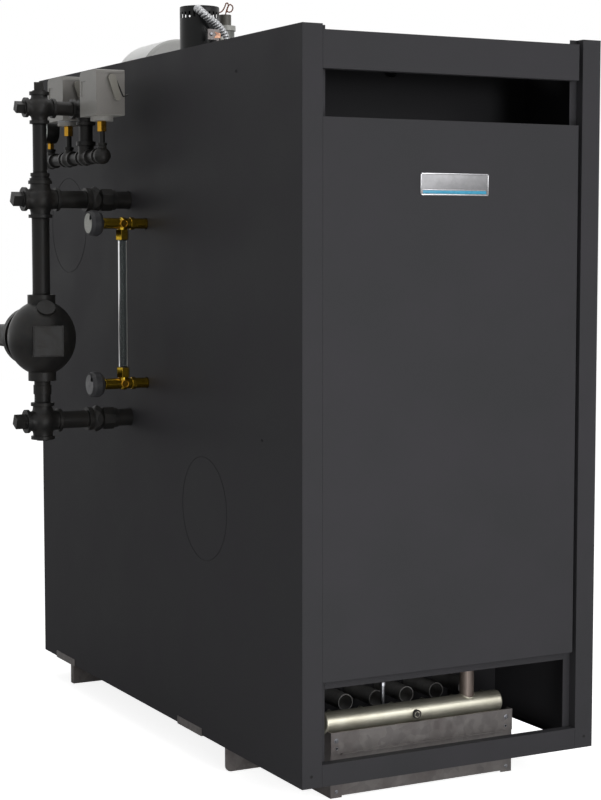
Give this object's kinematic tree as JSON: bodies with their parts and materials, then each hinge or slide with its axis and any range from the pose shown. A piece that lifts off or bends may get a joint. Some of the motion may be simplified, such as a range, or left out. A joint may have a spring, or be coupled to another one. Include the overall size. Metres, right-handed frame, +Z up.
{
  "type": "industrial boiler",
  "caption": "Free-standing gas-fired steam boiler in a dark sheet-metal jacket, with burners behind an open lower front, side water column, gauge glass and rear flue outlet.",
  "frame": {"origin": "on the floor, in the jacket's middle plane, under the plate of the middle base rail", "axes": "+X to the boiler's right seen from its front, +Y to its rear, +Z up"},
  "size_m": [1.051, 1.602, 1.7936],
  "materials": {
    "jacket_enamel": "satin dark grey enamel on sheet steel",
    "door_enamel": "satin dark grey enamel on sheet steel",
    "galvanised_steel": "spangled zinc, slightly dull",
    "black_iron": "matt black malleable iron",
    "black_pipe": "satin black steel pipe",
    "grey_cast_iron": "as cast",
    "bright_steel": "drawn steel pipe, brushed",
    "brass": "cast and turned brass",
    "glass": "clear tube",
    "control_grey": "light grey enamel",
    "black_enamel": "semi-gloss black",
    "knob_grey": "moulded dark grey",
    "nameplate_metal": "satin with a bright rim",
    "white_enamel": "pale enamelled sheet",
    "valve_grey": "grey painted metal",
    "lead_wire": "brown coated wire"
  },
  "bodies": {
    "root": {"left_side_panel": "jacket_enamel", "right_side_panel": "jacket_enamel", "rear_panel": "jacket_enamel", "roof_panel": "jacket_enamel", "top_front_rail": "jacket_enamel", "front_door_panel": "door_enamel", "bottom_front_rail": "jacket_enamel", "door_support_rail": "jacket_enamel", "nameplate": "nameplate_metal", "inner_front_panel": "jacket_enamel", "burner_panel": "jacket_enamel", "boiler_block": "grey_cast_iron", "middle_base_rail": "galvanised_steel", "rear_base_rail": "galvanised_steel", "base_front_tray": "galvanised_steel", "base_front_channel": "galvanised_steel", "jacket_clips": "galvanised_steel", "burner_tubes": "galvanised_steel", "gas_manifold": "bright_steel", "gas_riser": "black_pipe", "pilot_tube": "bright_steel", "flue_outlet": "white_enamel", "slotted_can": "black_enamel", "can_conduit": "galvanised_steel", "relief_valve": "valve_grey", "seal_wire": "lead_wire", "junction_box": "galvanised_steel", "sensor_bracket": "galvanised_steel", "top_cross": "black_iron", "middle_cross": "black_iron", "bottom_cross": "black_iron", "cross_plugs": "black_iron", "column_pipes": "black_pipe", "float_chamber": "black_iron", "float_cover": "black_iron", "pipe_unions": "black_iron", "pipe_nipples": "black_pipe", "top_elbow": "black_iron", "control_tees": "black_iron", "control_stems": "brass", "front_pressure_control": "control_grey", "rear_pressure_control": "control_grey", "pressure_gauge": "black_enamel", "upper_gauge_cock": "brass", "lower_gauge_cock": "brass", "gauge_glass": "glass"},
    "upper_knob": {"upper_cock_knob": "knob_grey"},
    "lower_knob": {"lower_cock_knob": "knob_grey"}
  },
  "joints": [
    {"name": "upper_knob_turn", "type": "hinge", "parent": "root", "child": "upper_knob", "pos_m": [-0.501, 0.3875, 1.25], "axis": [1, 0, 0], "range_deg": [0, 450]},
    {"name": "lower_knob_turn", "type": "hinge", "parent": "root", "child": "lower_knob", "pos_m": [-0.501, 0.3875, 0.867], "axis": [1, 0, 0], "range_deg": [0, 450]}
  ]
}
